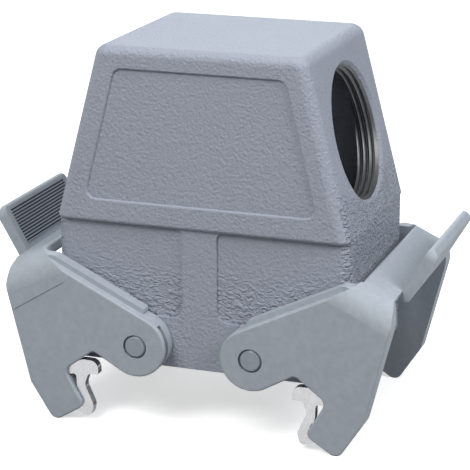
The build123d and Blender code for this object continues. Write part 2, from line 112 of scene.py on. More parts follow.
bpy.ops.mesh.primitive_plane_add(size=6.0, location=(0, 0, 0))
floor = bpy.context.object
floor.name = "floor"
floor_look = bpy.data.materials.new("pale_floor")
floor_look.use_nodes = True
tree = floor_look.node_tree
surface = tree.nodes["Principled BSDF"]
surface.inputs["Roughness"].default_value = 0.9
surface.inputs["Specular IOR Level"].default_value = 0.1
seen = tree.nodes.new("ShaderNodeLightPath")
shade = tree.nodes.new("ShaderNodeMix")
shade.data_type = "RGBA"
shade.inputs["A"].default_value = FLOOR_GREY
shade.inputs["B"].default_value = FLOOR_PALE
clean = tree.nodes.new("ShaderNodeMath")
clean.operation = "MAXIMUM"
tree.links.new(seen.outputs["Is Camera Ray"], clean.inputs[0])
tree.links.new(seen.outputs["Is Glossy Ray"], clean.inputs[1])
tree.links.new(clean.outputs["Value"], shade.inputs["Factor"])
glow = tree.nodes.new("ShaderNodeMath")
glow.operation = "MULTIPLY"
glow.inputs[1].default_value = FLOOR_GLOW
tree.links.new(seen.outputs["Is Camera Ray"], glow.inputs[0])
tree.links.new(glow.outputs["Value"], surface.inputs["Emission Strength"])
surface.inputs["Emission Color"].default_value = (1.0, 1.0, 1.0, 1.0)
tree.links.new(shade.outputs["Result"], surface.inputs["Base Color"])
floor.data.materials.append(floor_look)


# Hood casting
# Die-cast aluminium, cored out from below: a drafted upper half with recessed fields over
# a mating half with a raised band and ribs. A grey powder coat covers it.
MM = 0.001

# Heights above the floor, in millimetres as all sizes here
RIM = 14.7
BAND_TOP = RIM + 12.2
LEDGE = RIM + 34.0
TOP = RIM + 75.7
FIELD_LOW, FIELD_HIGH = RIM + 39.6, RIM + 70.5

# Half lengths and half widths
LENGTH, WIDTH = 36.0, 24.5
ROOF_LENGTH, ROOF_WIDTH = 25.1, 23.9
CORE_WIDTH, BAND_WIDTH = 23.0, 23.6
ROOM_WIDTH = 20.2
FIELD_FOOT, FIELD_HEAD = 28.2, 20.4
RIB_WIDTH, RIB_HEAD = 4.2, 7.0

CORNER = 3.0
WALL, ENTRY_WALL, ROOF_ENTRY_WALL = 3.0, 6.4, 3.3
FIELD_DEPTH, FIELD_CORNER = 0.6, 2.2
PIVOT = Vector((14.2, RIM + 5.9))
PIN_RADIUS, PIN_FLOOR = 2.6, 1.0
BOSS_RADIUS, BOSS_HEIGHT = 4.8, 1.2
COLUMN = Vector((28.5, 13.5))
COLUMN_EDGE = 3.8
INTO_WALL = Vector((34.0, 21.5))  # bosses and columns start inside the walls
SEAL_INSET, SEAL_WIDTH, GROOVE_DEPTH = 0.85, 1.5, 1.3
BORE_RADIUS, MOUTH_RADIUS, MOUTH_HEIGHT = 16.0, 18.0, 54.6

END_SLOPE = (LENGTH - ROOF_LENGTH) / (TOP - LEDGE)
DRAFT = (WIDTH - ROOF_WIDTH) / (TOP - LEDGE)
NEAR = 0.02  # how far a point may lie off a face and still count as on it


def start_clean():
    """Leave edit mode with nothing selected, so that an operator acts on the new piece only."""
    if bpy.context.object and bpy.context.object.mode != "OBJECT":
        bpy.ops.object.mode_set(mode="OBJECT")
    bpy.ops.object.select_all(action="DESELECT")


def work_on(piece):
    """Make one piece the selected and active one."""
    start_clean()
    piece.select_set(True)
    bpy.context.view_layer.objects.active = piece


def face_outwards(piece):
    """Merge doubled points and turn the faces outwards."""
    work_on(piece)
    bpy.ops.object.mode_set(mode="EDIT")
    bpy.ops.mesh.select_all(action="SELECT")
    bpy.ops.mesh.remove_doubles(threshold=1e-6)
    bpy.ops.mesh.normals_make_consistent(inside=False)
    bpy.ops.object.mode_set(mode="OBJECT")


def brick(name, low, high):
    """Box from its lowest to its highest corner, in millimetres."""
    start_clean()
    centre = [(a + b) / 2 * MM for a, b in zip(low, high)]
    size = [(b - a) * MM for a, b in zip(low, high)]
    bpy.ops.mesh.primitive_cube_add(size=1, location=centre, scale=size)
    piece = bpy.context.object
    piece.name = name
    bpy.ops.object.transform_apply(location=True, rotation=True, scale=True)
    return piece


def bar(name, radius, start, end, sides=64, end_radius=None):
    """Round bar or cone between two points, in millimetres."""
    start_clean()
    start, end = Vector(start) * MM, Vector(end) * MM
    run = end - start
    bpy.ops.mesh.primitive_cone_add(
        vertices=sides, radius1=radius * MM, radius2=(end_radius or radius) * MM,
        depth=run.length, location=(start + end) / 2,
        rotation=run.to_track_quat("Z", "Y").to_euler())
    piece = bpy.context.object
    piece.name = name
    bpy.ops.object.transform_apply(location=True, rotation=True, scale=True)
    return piece


def round_edges(piece, wanted, width, segments):
    """Bevel the edges whose two ends, in millimetres, satisfy wanted."""
    work_on(piece)
    bpy.ops.object.mode_set(mode="EDIT")
    bpy.ops.mesh.select_mode(type="EDGE")
    bpy.ops.mesh.select_all(action="DESELECT")
    bpy.ops.object.mode_set(mode="OBJECT")
    points = [vertex.co / MM for vertex in piece.data.vertices]
    for edge in piece.data.edges:
        a, b = edge.vertices
        edge.select = bool(wanted(points[a], points[b]))
    bpy.ops.object.mode_set(mode="EDIT")
    bpy.ops.mesh.bevel(offset=width * MM, segments=segments, profile=0.5, affect="EDGES",
                       clamp_overlap=True)
    bpy.ops.object.mode_set(mode="OBJECT")


def combine(piece, tool, operation):
    """Join, cut or trim a piece with a tool, which is used up."""
    work_on(piece)
    step = piece.modifiers.new("combine", "BOOLEAN")
    step.operation = operation
    step.solver = "EXACT"
    step.object = tool
    bpy.ops.object.modifier_apply(modifier=step.name)
    bpy.data.objects.remove(tool)


def outline_plate(name, corners, near, far):
    """Plate with an XZ outline, corners given as (x, z, radius), from y = near to y = far."""
    start_clean()
    bpy.ops.mesh.primitive_circle_add(vertices=len(corners), fill_type="NGON", radius=1)
    piece = bpy.context.object
    piece.name = name
    for vertex, (x, z, radius) in zip(piece.data.vertices, corners):
        vertex.co = Vector((x, near, z)) * MM
    bpy.ops.object.mode_set(mode="EDIT")
    bpy.ops.mesh.select_all(action="SELECT")
    bpy.ops.mesh.extrude_region_move(TRANSFORM_OT_translate={"value": (0, (far - near) * MM, 0)})
    bpy.ops.object.mode_set(mode="OBJECT")
    face_outwards(piece)
    for index, (x, z, radius) in enumerate(corners):
        if radius <= 0:
            continue
        here = Vector((x, z))
        before = (Vector(corners[index - 1][:2]) - here).normalized()
        after = (Vector(corners[(index + 1) % len(corners)][:2]) - here).normalized()
        angle = before.angle(after)
        round_edges(
            piece,
            lambda a, b: max(abs(a.x - x), abs(a.z - z), abs(b.x - x), abs(b.z - z)) < 1e-3,
            width=radius / math.tan(angle / 2), segments=max(2, round((math.pi - angle) * 5)))
    return piece


def drafted_block(name, low, high, corner=0, shift=0, top_length=1, top_width=1):
    """Box with rounded corner posts, its top moved along X and scaled against its foot."""
    block = brick(name, low, high)
    middle = (low[0] + high[0]) / 2
    for vertex in block.data.vertices:
        if vertex.co.z > (low[2] + high[2]) / 2 * MM:
            vertex.co.x = (middle + shift + (vertex.co.x / MM - middle) * top_length) * MM
            vertex.co.y *= top_width
    if corner > 0:
        round_edges(block, lambda a, b: abs(a.z - b.z) > 1, width=corner, segments=6)
    return block


def hood_hollow(name):
    """Room inside the hood: straight mating space, then a tapered wiring space."""
    shelf = LEDGE - WALL
    corner = 2.0
    room = drafted_block(
        name, (WALL - LENGTH, -ROOM_WIDTH, RIM - 3), (LENGTH - WALL, ROOM_WIDTH, shelf), corner)
    low, high = WALL - LENGTH, LENGTH - ENTRY_WALL
    top_low, top_high = WALL - ROOF_LENGTH, ROOF_LENGTH - ROOF_ENTRY_WALL
    attic = drafted_block(
        name + "_attic", (low, -ROOM_WIDTH, shelf - 0.01), (high, ROOM_WIDTH, TOP - WALL), corner,
        shift=(top_low + top_high) / 2 - (low + high) / 2,
        top_length=(top_high - top_low) / (high - low),
        top_width=(ROOF_WIDTH - WALL) / ROOM_WIDTH)
    combine(room, attic, "UNION")
    return room


hood = drafted_block(
    "hood_casting", (-LENGTH, -WIDTH, LEDGE), (LENGTH, WIDTH, TOP), CORNER,
    top_length=ROOF_LENGTH / LENGTH, top_width=ROOF_WIDTH / WIDTH)
round_edges(hood, lambda a, b: min(a.z, b.z) > TOP - 0.01, width=2.3, segments=6)
round_edges(hood, lambda a, b: max(a.z, b.z) < LEDGE + 0.01, width=0.9, segments=4)
for side in (-1, 1):
    field = outline_plate(
        "field",
        [(-FIELD_FOOT, FIELD_LOW, FIELD_CORNER), (FIELD_FOOT, FIELD_LOW, FIELD_CORNER),
         (FIELD_HEAD, FIELD_HIGH, FIELD_CORNER), (-FIELD_HEAD, FIELD_HIGH, FIELD_CORNER)], -1, 1)
    for vertex in field.data.vertices:
        wall = WIDTH - DRAFT * (vertex.co.z / MM - LEDGE)
        vertex.co.y = side * (wall + 2 if vertex.co.y * side > 0 else wall - FIELD_DEPTH) * MM
    face_outwards(field)
    combine(hood, field, "DIFFERENCE")

# Core of the mating half, whose end walls slope like those above, and the band and ribs on it
core = drafted_block("core", (-LENGTH, -CORE_WIDTH, RIM), (LENGTH, CORE_WIDTH, TOP + 5), CORNER)
slope_height = 2.0
slope = drafted_block(
    "slope", (-LENGTH, -30, LEDGE), (LENGTH, 30, LEDGE + slope_height),
    top_length=1 - slope_height * END_SLOPE / LENGTH)
foot = brick("foot", (-40, -30, RIM - 5), (40, 30, LEDGE))
combine(slope, foot, "UNION")
combine(core, slope, "INTERSECT")
combine(hood, core, "UNION")
band = drafted_block(
    "band", (-LENGTH, -BAND_WIDTH, RIM), (LENGTH, BAND_WIDTH, LEDGE + 0.6), CORNER)
right = [
    (LENGTH + 1, RIM - 1, 0), (LENGTH + 1, BAND_TOP, 0), (RIB_WIDTH, BAND_TOP, 3.0),
    (RIB_WIDTH, LEDGE - 0.2, 1.4), (RIB_HEAD, LEDGE - 0.2, 0), (RIB_HEAD, LEDGE + 0.5, 0)]
left = [(-x, z, radius) for x, z, radius in reversed(right)]
pattern = outline_plate("pattern", left[-1:] + right + left[:-1], -40, 40)
combine(band, pattern, "INTERSECT")
combine(hood, band, "UNION")
combine(hood, hood_hollow("hollow"), "DIFFERENCE")

# Bosses with the blind holes of the pins, and the columns that the insert is screwed to
for x in (-PIVOT.x, PIVOT.x):
    for side in (-1, 1):
        boss_end = side * (ROOM_WIDTH - BOSS_HEIGHT)
        hole_end = boss_end + side * PIN_FLOOR
        boss = bar("pin_boss", BOSS_RADIUS, (x, side * INTO_WALL.y, PIVOT.y), (x, boss_end, PIVOT.y))
        combine(hood, boss, "UNION")
        hole = bar("pin_hole", PIN_RADIUS, (x, side * 30, PIVOT.y), (x, hole_end, PIVOT.y))
        combine(hood, hole, "DIFFERENCE")
for x in (-COLUMN.x, COLUMN.x):
    for y in (-COLUMN.y, COLUMN.y):
        x_low, x_high = sorted((x - math.copysign(COLUMN_EDGE, x), math.copysign(INTO_WALL.x, x)))
        y_low, y_high = sorted((y - math.copysign(COLUMN_EDGE, y), math.copysign(INTO_WALL.y, y)))
        column = brick("column", (x_low, y_low, RIM + 18), (x_high, y_high, RIM + 28))
        combine(hood, column, "UNION")
        hole = bar("screw_hole", 2.0, (x, y, RIM + 17), (x, y, RIM + 27), sides=32)
        combine(hood, hole, "DIFFERENCE")

# Groove of the rim seal
x, y, corner = LENGTH - SEAL_INSET, BAND_WIDTH - SEAL_INSET, CORNER - SEAL_INSET
groove = drafted_block("groove", (-x, -y, RIM - 1), (x, y, RIM + GROOVE_DEPTH), corner)
x, y, corner = x - SEAL_WIDTH, y - SEAL_WIDTH, corner - 0.8 * SEAL_WIDTH
island = drafted_block("island", (-x, -y, RIM - 2), (x, y, RIM + 2), corner)
combine(groove, island, "DIFFERENCE")
combine(hood, groove, "DIFFERENCE")

# Cable entry, square to the sloping end wall
MOUTH = Vector((LENGTH - END_SLOPE * (RIM + MOUTH_HEIGHT - LEDGE), 0, RIM + MOUTH_HEIGHT))
MOUTH_AXIS = Vector((1, 0, END_SLOPE)).normalized()
bore = bar("bore", BORE_RADIUS, MOUTH - MOUTH_AXIS * 12, MOUTH + MOUTH_AXIS * 5, sides=128)
combine(hood, bore, "DIFFERENCE")
funnel = bar("funnel", BORE_RADIUS, MOUTH - MOUTH_AXIS * 0.75, MOUTH + MOUTH_AXIS * 1.25,
             sides=128, end_radius=MOUTH_RADIUS)
combine(hood, funnel, "DIFFERENCE")


def on_wall(point):
    """Whether a point is on the drafted long walls of the upper half."""
    return abs(abs(point.y) - WIDTH + DRAFT * (point.z - LEDGE)) < NEAR


def on_field_border(point):
    """Whether a point is on the border of a recessed field."""
    return (on_wall(point) and abs(point.x) < FIELD_FOOT + 0.1
            and FIELD_LOW - 0.1 < point.z < FIELD_HIGH + 0.1)


def on_end_bend(point):
    """Whether a point is on the bend where an end wall starts to slope."""
    return (abs(point.z - LEDGE) < NEAR and abs(point.x) > LENGTH - 0.1
            and abs(point.y) < CORE_WIDTH - CORNER + 0.1)


def on_rib_border(point):
    """Whether a point is on the border of the raised band and ribs."""
    return (BAND_TOP - 0.01 < point.z < LEDGE + 0.2 and abs(point.x) < LENGTH - CORNER + NEAR
            and abs(abs(point.y) - BAND_WIDTH) < NEAR)


face_outwards(hood)
round_edges(hood, lambda a, b: on_end_bend(a) and on_end_bend(b) and a.x * b.x > 0,
            width=1.2, segments=5)
round_edges(hood, lambda a, b: on_field_border(a) and on_field_border(b), width=0.45, segments=3)
round_edges(hood, lambda a, b: on_rib_border(a) and on_rib_border(b), width=0.45, segments=3)
face_outwards(hood)
work_on(hood)
bpy.ops.object.shade_smooth_by_angle(angle=math.radians(32))
weigh = hood.modifiers.new("weigh", "WEIGHTED_NORMAL")
weigh.keep_sharp = True
bpy.ops.object.modifier_apply(modifier=weigh.name)


def open_group(name, inputs, outputs):
    """Shader node group with float, vector or colour sockets. Returns the tree and its two ends."""
    group = bpy.data.node_groups.new(name, "ShaderNodeTree")
    kinds = {"f": "NodeSocketFloat", "v": "NodeSocketVector", "c": "NodeSocketColor"}
    for label, kind, value in inputs:
        socket = group.interface.new_socket(name=label, in_out="INPUT", socket_type=kinds[kind])
        if value is not None:
            socket.default_value = value
    for label, kind in outputs:
        group.interface.new_socket(name=label, in_out="OUTPUT", socket_type=kinds[kind])
    return group, group.nodes.new("NodeGroupInput"), group.nodes.new("NodeGroupOutput")


def add_node(tree, kind, settings=(), inputs=()):
    """Node with its settings and unlinked values."""
    node = tree.nodes.new(kind)
    for label, value in dict(settings).items():
        setattr(node, label, value)
    for label, value in dict(inputs).items():
        node.inputs[label].default_value = value
    return node


def do_math(tree, operation, first, second=0.0):
    """Math node on one or two values, each a socket or a number."""
    node = tree.nodes.new("ShaderNodeMath")
    node.operation = operation
    for index, value in enumerate((first, second)):
        if isinstance(value, (int, float)):
            node.inputs[index].default_value = value
        else:
            tree.links.new(value, node.inputs[index])
    return node.outputs["Value"]


def sized(tree, vector, feature):
    """Object coordinates divided by a feature size in millimetres."""
    node = add_node(tree, "ShaderNodeVectorMath", {"operation": "SCALE"})
    tree.links.new(vector, node.inputs[0])
    tree.links.new(do_math(tree, "DIVIDE", 1000.0, feature), node.inputs["Scale"])
    return node.outputs["Vector"]


# Powder coat: orange peel, fine grain and slow drifts of colour and gloss. Painted shade
# darkens the colour in the low hollows of the peel, following its bump height.
GRAIN_SIZE, DRIFT_SIZE = 0.22, 14.0
GLOSS_DRIFT = 0.16
TINT_DRIFT, TINT_GRAIN, PEEL_PAINTED_SHADE, TINT_LEAST = 0.09, 0.16, 0.22, 0.765  # shares of the colour's value

coat_group, given, made = open_group(
    "powder_coat",
    (("Vector", "v", None), ("Colour", "c", (0.4, 0.4, 0.4, 1)), ("Peel Size", "f", 1.0),
     ("Peel Depth", "f", 1.0), ("Grain Depth", "f", 0.3), ("Roughness", "f", 0.45)),
    (("Colour", "c"), ("Roughness", "f"), ("Height", "f")))
vector = given.outputs["Vector"]
peel = add_node(coat_group, "ShaderNodeTexNoise",
                inputs={"Scale": 1.0, "Detail": 1.5, "Roughness": 0.5})
coat_group.links.new(sized(coat_group, vector, given.outputs["Peel Size"]), peel.inputs["Vector"])
cells = add_node(coat_group, "ShaderNodeTexVoronoi", {"feature": "SMOOTH_F1"},
                 {"Scale": 1.0, "Smoothness": 0.7})
coat_group.links.new(
    sized(coat_group, vector, do_math(coat_group, "MULTIPLY", given.outputs["Peel Size"], 1.3)),
    cells.inputs["Vector"])
fine = {"Scale": 1.0, "Detail": 3.0, "Roughness": 0.6}
grain = add_node(coat_group, "ShaderNodeTexNoise", inputs=fine)
coat_group.links.new(sized(coat_group, vector, GRAIN_SIZE), grain.inputs["Vector"])
drift = add_node(coat_group, "ShaderNodeTexNoise", inputs=fine)
coat_group.links.new(sized(coat_group, vector, DRIFT_SIZE), drift.inputs["Vector"])
lumps = do_math(coat_group, "ADD", peel.outputs["Fac"],
                do_math(coat_group, "MULTIPLY", cells.outputs["Distance"], 0.5))
height = do_math(
    coat_group, "ADD", do_math(coat_group, "MULTIPLY", lumps, given.outputs["Peel Depth"]),
    do_math(coat_group, "MULTIPLY", grain.outputs["Fac"], given.outputs["Grain Depth"]))
coat_group.links.new(height, made.inputs["Height"])
gloss = do_math(coat_group, "ADD", given.outputs["Roughness"],
                do_math(coat_group, "MULTIPLY",
                        do_math(coat_group, "SUBTRACT", drift.outputs["Fac"], 0.5), GLOSS_DRIFT))
coat_group.links.new(gloss, made.inputs["Roughness"])
speckle = do_math(coat_group, "ADD",
                  do_math(coat_group, "MULTIPLY", drift.outputs["Fac"], TINT_DRIFT),
                  do_math(coat_group, "MULTIPLY", grain.outputs["Fac"], TINT_GRAIN))
# Painted shade: the colour follows the peel's height and is darker down in its hollows
painted_hollow_shade = do_math(coat_group, "MULTIPLY", peel.outputs["Fac"], PEEL_PAINTED_SHADE)
value = do_math(coat_group, "ADD", do_math(coat_group, "ADD", speckle, painted_hollow_shade), TINT_LEAST)
tint = add_node(coat_group, "ShaderNodeHueSaturation")
coat_group.links.new(given.outputs["Colour"], tint.inputs["Color"])
coat_group.links.new(value, tint.inputs["Value"])
coat_group.links.new(tint.outputs["Color"], made.inputs["Colour"])


def coated(name, colour, peel_size, peel_depth, grain_depth, roughness, bump_mm):
    """Powder coat in one colour and texture."""
    look = bpy.data.materials.new(name)
    look.use_nodes = True
    tree = look.node_tree
    surface = tree.nodes["Principled BSDF"]
    place = tree.nodes.new("ShaderNodeTexCoord")
    coat = tree.nodes.new("ShaderNodeGroup")
    coat.node_tree = coat_group
    coat.inputs["Colour"].default_value = (*colour, 1.0)
    coat.inputs["Peel Size"].default_value = peel_size
    coat.inputs["Peel Depth"].default_value = peel_depth
    coat.inputs["Grain Depth"].default_value = grain_depth
    coat.inputs["Roughness"].default_value = roughness
    tree.links.new(place.outputs["Object"], coat.inputs["Vector"])
    tree.links.new(coat.outputs["Colour"], surface.inputs["Base Color"])
    tree.links.new(coat.outputs["Roughness"], surface.inputs["Roughness"])
    bump = add_node(tree, "ShaderNodeBump", inputs={"Strength": 1.0, "Distance": bump_mm * MM})
    tree.links.new(coat.outputs["Height"], bump.inputs["Height"])
    tree.links.new(bump.outputs["Normal"], surface.inputs["Normal"])
    surface.inputs["Specular IOR Level"].default_value = 0.25
    return look


def fade(tree, value, none, full):
    """Ramp from 0 to 1 as a value in metres goes from none to full, both in millimetres."""
    node = add_node(tree, "ShaderNodeMapRange", {"interpolation_type": "SMOOTHSTEP"},
                    {"From Min": none * MM, "From Max": full * MM})
    tree.links.new(value, node.inputs["Value"])
    return node.outputs["Result"]


# Creases where the coat gathered: low in the recesses and on the bends of the end walls.
# Each pair of places, in millimetres, is where the creases start and where they are full.
RECESS_HEIGHTS = (RIM + 29.0, RIM + 17.0)
BEND_HEIGHTS = (RIM + 50.0, RIM + 38.0)
BEND_REACH = (33.0, 35.4)
RECESS_WIDTHS = (23.4, 23.2)
BEND_STRENGTH = 1.7
CREASE_STRETCH = (0.7, 0.7, 1.2)
CREASE_STEEPNESS, CREASE_LIMIT, CREASE_MIDDLE = 6.0, 1.3, 0.75

gather_group, given, made = open_group(
    "gathered_coat", (("Vector", "v", None), ("Crease Size", "f", 1.2)), (("Height", "f"),))
parts = gather_group.nodes.new("ShaderNodeSeparateXYZ")
gather_group.links.new(given.outputs["Vector"], parts.inputs["Vector"])
across = do_math(gather_group, "ABSOLUTE", parts.outputs["X"])
deep = do_math(gather_group, "ABSOLUTE", parts.outputs["Y"])
low_down = fade(gather_group, parts.outputs["Z"], *RECESS_HEIGHTS)
above = do_math(gather_group, "MAXIMUM", do_math(
    gather_group, "SUBTRACT", parts.outputs["Z"], LEDGE * MM), 0.0)
end_wall = do_math(gather_group, "ADD", across, do_math(gather_group, "MULTIPLY", above, END_SLOPE))
on_bend = do_math(gather_group, "MULTIPLY", fade(gather_group, end_wall, *BEND_REACH),
                  fade(gather_group, parts.outputs["Z"], *BEND_HEIGHTS))
zone = do_math(gather_group, "MULTIPLY", do_math(
    gather_group, "MAXIMUM", low_down, do_math(gather_group, "MULTIPLY", on_bend, BEND_STRENGTH)),
    fade(gather_group, deep, *RECESS_WIDTHS))
flatter = add_node(gather_group, "ShaderNodeVectorMath", {"operation": "MULTIPLY"})
flatter.inputs[1].default_value = CREASE_STRETCH
gather_group.links.new(given.outputs["Vector"], flatter.inputs[0])
folds = add_node(gather_group, "ShaderNodeTexNoise",
                 inputs={"Scale": 1.0, "Detail": 1.0, "Distortion": 0.4})
gather_group.links.new(sized(gather_group, flatter.outputs["Vector"], given.outputs["Crease Size"]),
                       folds.inputs["Vector"])
crease = do_math(gather_group, "MULTIPLY", do_math(
    gather_group, "ABSOLUTE", do_math(gather_group, "SUBTRACT", folds.outputs["Fac"], 0.5)),
    CREASE_STEEPNESS)
relief = do_math(gather_group, "SUBTRACT",
                 do_math(gather_group, "MINIMUM", crease, CREASE_LIMIT), CREASE_MIDDLE)
gather_group.links.new(do_math(gather_group, "MULTIPLY", relief, zone), made.inputs["Height"])

hood_look = coated("hood_powder_coat", (0.370, 0.396, 0.462), peel_size=0.60, peel_depth=1.0,
                   grain_depth=0.40, roughness=0.48, bump_mm=0.23)
tree = hood_look.node_tree
gathered = tree.nodes.new("ShaderNodeGroup")
gathered.node_tree = gather_group
tree.links.new(tree.nodes["Texture Coordinate"].outputs["Object"], gathered.inputs["Vector"])
bump = tree.nodes["Bump"]
peel_height = bump.inputs["Height"].links[0].from_socket
tree.links.new(do_math(tree, "ADD", peel_height, gathered.outputs["Height"]), bump.inputs["Height"])
hood.data.materials.clear()
hood.data.materials.append(hood_look)
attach(hood, "hood")
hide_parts("hood_shell")


# Gland thread
# Machined M32 thread in the bore of the hood, with a pitch of 1.5 mm: bare aluminium
# ridges swept as one helix, which end where the wall ends inside.
THREAD_PITCH, THREAD_TURNS, THREAD_DEPTH = 1.5, 6, 8.6
THREAD_PROFILE = ((16.04, -0.68), (16.04, 0.68), (15.25, 0.16), (15.12, 0.0), (15.25, -0.16))

start_clean()
bpy.ops.mesh.primitive_circle_add(vertices=5, radius=1)
thread = bpy.context.object
thread.name = "gland_thread"
for vertex, (radius, run) in zip(thread.data.vertices, THREAD_PROFILE):
    vertex.co = Vector((radius, 0, run)) * MM
turns = thread.modifiers.new("turns", "SCREW")
turns.axis = "Z"
turns.angle = 2 * math.pi
turns.screw_offset = THREAD_PITCH * MM
turns.iterations = THREAD_TURNS
turns.steps = turns.render_steps = 128
turns.use_merge_vertices = True
bpy.ops.object.modifier_apply(modifier=turns.name)
bpy.ops.object.mode_set(mode="EDIT")
bpy.ops.mesh.select_all(action="DESELECT")
bpy.ops.mesh.select_mode(type="EDGE")
bpy.ops.mesh.select_non_manifold()
bpy.ops.mesh.fill()
bpy.ops.object.mode_set(mode="OBJECT")
thread.rotation_euler = MOUTH_AXIS.to_track_quat("Z", "Y").to_euler()
thread.location = (MOUTH - MOUTH_AXIS * THREAD_DEPTH) * MM
bpy.ops.object.transform_apply(location=True, rotation=True, scale=True)
face_outwards(thread)
combine(thread, hood_hollow("hollow"), "DIFFERENCE")
funnel = bar("funnel", 14.6, MOUTH - MOUTH_AXIS * 2.15, MOUTH + MOUTH_AXIS * 2.85,
             sides=128, end_radius=19.6)
combine(thread, funnel, "DIFFERENCE")
work_on(thread)
bpy.ops.object.shade_smooth_by_angle(angle=math.radians(30))

thread_look = bpy.data.materials.new("cut_thread")
thread_look.use_nodes = True
tree = thread_look.node_tree
surface = tree.nodes["Principled BSDF"]
place = tree.nodes.new("ShaderNodeTexCoord")
film = add_node(tree, "ShaderNodeTexNoise", inputs={"Scale": 900.0, "Detail": 3.0})
tone = add_node(tree, "ShaderNodeValToRGB")
tone.color_ramp.elements[0].color = (0.08, 0.08, 0.085, 1)
tone.color_ramp.elements[1].color = (0.17, 0.17, 0.175, 1)
tree.links.new(place.outputs["Object"], film.inputs["Vector"])
tree.links.new(film.outputs["Fac"], tone.inputs["Fac"])
tree.links.new(tone.outputs["Color"], surface.inputs["Base Color"])
surface.inputs["Metallic"].default_value = 0.5
surface.inputs["Roughness"].default_value = 0.38
bump = add_node(tree, "ShaderNodeBump", inputs={"Strength": 0.5, "Distance": 0.03 * MM})
tree.links.new(film.outputs["Fac"], bump.inputs["Height"])
tree.links.new(bump.outputs["Normal"], surface.inputs["Normal"])
thread.data.materials.clear()
thread.data.materials.append(thread_look)
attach(thread, "hood")


# Rim seal
# Black elastomer ring in the groove round the mating rim, dusted and slightly pebbled.
# It stands a little out of the groove so that the mating housing squeezes it.
mould_group, given, made = open_group(
    "moulded_surface",
    (("Vector", "v", None), ("Colour", "c", (0.2, 0.2, 0.2, 1)), ("Pebble Size", "f", 0.4),
     ("Flow Size", "f", 9.0), ("Contrast", "f", 0.2), ("Roughness", "f", 0.5)),
    (("Colour", "c"), ("Roughness", "f"), ("Height", "f")))
pebbles = add_node(mould_group, "ShaderNodeTexNoise", inputs={"Scale": 1.0, "Detail": 2.0})
mould_group.links.new(sized(mould_group, given.outputs["Vector"], given.outputs["Pebble Size"]),
                      pebbles.inputs["Vector"])
flow = add_node(mould_group, "ShaderNodeTexNoise",
                inputs={"Scale": 1.0, "Detail": 4.0, "Distortion": 1.2})
mould_group.links.new(sized(mould_group, given.outputs["Vector"], given.outputs["Flow Size"]),
                      flow.inputs["Vector"])
swing = do_math(mould_group, "MULTIPLY", do_math(mould_group, "SUBTRACT", flow.outputs["Fac"], 0.5),
                given.outputs["Contrast"])
tint = add_node(mould_group, "ShaderNodeHueSaturation")
mould_group.links.new(given.outputs["Colour"], tint.inputs["Color"])
mould_group.links.new(do_math(mould_group, "ADD", swing, 1.0), tint.inputs["Value"])
mould_group.links.new(tint.outputs["Color"], made.inputs["Colour"])
mould_group.links.new(do_math(mould_group, "ADD", swing, given.outputs["Roughness"]),
                      made.inputs["Roughness"])
mould_group.links.new(pebbles.outputs["Fac"], made.inputs["Height"])


def grouped(name, group, values, bump_mm, metallic=0.0):
    """Material whose colour, roughness and height come from a moulded or worked surface."""
    look = bpy.data.materials.new(name)
    look.use_nodes = True
    tree = look.node_tree
    surface = tree.nodes["Principled BSDF"]
    place = tree.nodes.new("ShaderNodeTexCoord")
    effect = tree.nodes.new("ShaderNodeGroup")
    effect.node_tree = group
    for label, value in values.items():
        effect.inputs[label].default_value = value
    tree.links.new(place.outputs["Object"], effect.inputs["Vector"])
    tree.links.new(effect.outputs["Colour"], surface.inputs["Base Color"])
    tree.links.new(effect.outputs["Roughness"], surface.inputs["Roughness"])
    bump = add_node(tree, "ShaderNodeBump", inputs={"Strength": 1.0, "Distance": bump_mm * MM})
    tree.links.new(effect.outputs["Height"], bump.inputs["Height"])
    tree.links.new(bump.outputs["Normal"], surface.inputs["Normal"])
    surface.inputs["Metallic"].default_value = metallic
    return look


def dress(node, look):
    """Give a CAD node its material."""
    node.data.materials.clear()
    node.data.materials.append(look)


seal_look = grouped("seal_rubber", mould_group, {
    "Colour": (0.022, 0.022, 0.024, 1), "Pebble Size": 0.25, "Contrast": 0.5, "Roughness": 0.72}, 0.04)
dress(nodes["rim_seal"], seal_look)


# Pivot pins
# Turned steel pins pressed into blind holes in the hood, with fine rings left by the
# cutter on their flat heads, under a dull grey coat.
RING_PITCH = 0.32
pin_look = bpy.data.materials.new("turned_pin")
pin_look.use_nodes = True
tree = pin_look.node_tree
surface = tree.nodes["Principled BSDF"]
place = tree.nodes.new("ShaderNodeTexCoord")
parts = tree.nodes.new("ShaderNodeSeparateXYZ")
tree.links.new(place.outputs["Object"], parts.inputs["Vector"])
across = do_math(tree, "SUBTRACT", do_math(tree, "ABSOLUTE", parts.outputs["X"]), PIVOT.x * MM)
upward = do_math(tree, "SUBTRACT", parts.outputs["Z"], PIVOT.y * MM)
reach = do_math(tree, "SQRT", do_math(tree, "ADD", do_math(tree, "MULTIPLY", across, across),
                                      do_math(tree, "MULTIPLY", upward, upward)))
rings = do_math(tree, "SINE", do_math(tree, "MULTIPLY", reach, 2 * math.pi / (RING_PITCH * MM)))
cloud = add_node(tree, "ShaderNodeTexNoise", inputs={"Scale": 700.0, "Detail": 4.0})
tree.links.new(place.outputs["Object"], cloud.inputs["Vector"])
tone = add_node(tree, "ShaderNodeValToRGB")
tone.color_ramp.elements[0].color = (0.22, 0.25, 0.28, 1)
tone.color_ramp.elements[1].color = (0.33, 0.365, 0.41, 1)
tree.links.new(cloud.outputs["Fac"], tone.inputs["Fac"])
tree.links.new(tone.outputs["Color"], surface.inputs["Base Color"])
gloss = do_math(tree, "ADD", do_math(tree, "MULTIPLY", cloud.outputs["Fac"], 0.2), 0.34)
tree.links.new(gloss, surface.inputs["Roughness"])
relief = do_math(tree, "ADD", do_math(tree, "MULTIPLY", rings, 0.5), cloud.outputs["Fac"])
bump = add_node(tree, "ShaderNodeBump", inputs={"Strength": 0.5, "Distance": 0.02 * MM})
tree.links.new(relief, bump.inputs["Height"])
tree.links.new(bump.outputs["Normal"], surface.inputs["Normal"])
surface.inputs["Metallic"].default_value = 0.35
